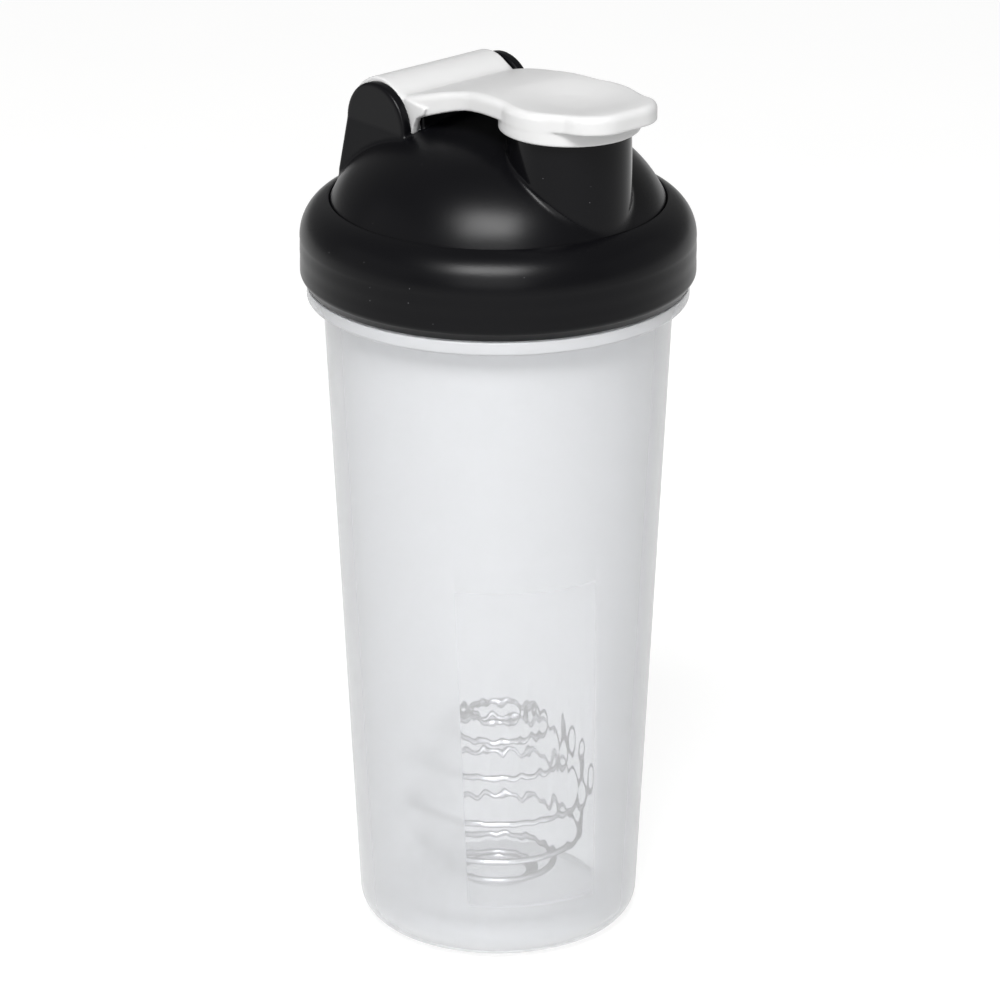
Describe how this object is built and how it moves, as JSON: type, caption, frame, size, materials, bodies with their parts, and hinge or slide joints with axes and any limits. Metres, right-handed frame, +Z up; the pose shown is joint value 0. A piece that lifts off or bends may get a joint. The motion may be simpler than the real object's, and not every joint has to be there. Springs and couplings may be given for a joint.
{
  "type": "protein shaker bottle",
  "caption": "Tapered frosted shaker cup with a screw lid, drinking spout, flip cap and loose wire whisk ball.",
  "frame": {"origin": "centre of the foot ring, on the surface that the bottle stands on", "axes": "+Z up along the cup's axis, -Y towards the drinking spout, +Y towards the cap's hinge, X along the hinge"},
  "size_m": [0.0961, 0.096, 0.2202],
  "materials": {
    "frosted_polypropylene": "frosted translucent, moulded",
    "black_polypropylene": "satin, moulded, with a glossy spout",
    "white_polypropylene": "satin, moulded",
    "silicone": "matt, moulded",
    "stainless_wire": "drawn and polished"
  },
  "bodies": {
    "cup": {"cup": "frosted_polypropylene"},
    "lid_seal": {"lid_seal": "silicone"},
    "lid": {"lid": "black_polypropylene"},
    "flip_cap": {"flip_cap": "white_polypropylene", "spout_stopper": "silicone"},
    "whisk_ball": {"whisk_ball": "stainless_wire"}
  },
  "joints": [
    {"name": "lid_lift", "type": "slide", "parent": "cup", "child": "lid_seal", "axis": [0, 0, 1], "range_m": [0, 0.024]},
    {"name": "lid_turn", "type": "hinge", "parent": "lid_seal", "child": "lid", "pos_m": [0, 0, 0.1844], "axis": [0, 0, 1], "range_deg": [0, 720]},
    {"name": "cap_flip", "type": "hinge", "parent": "lid", "child": "flip_cap", "pos_m": [0, 0.0228, 0.2062], "axis": [-1, 0, 0], "range_deg": [0, 165]},
    {"name": "ball_shake", "type": "slide", "parent": "cup", "child": "whisk_ball", "axis": [0, 0, 1], "range_m": [0, 0.1]}
  ],
  "couplings": [
    {"joint": "lid_lift", "follows": "lid_turn", "m_per_rad": 0.0019099}
  ]
}
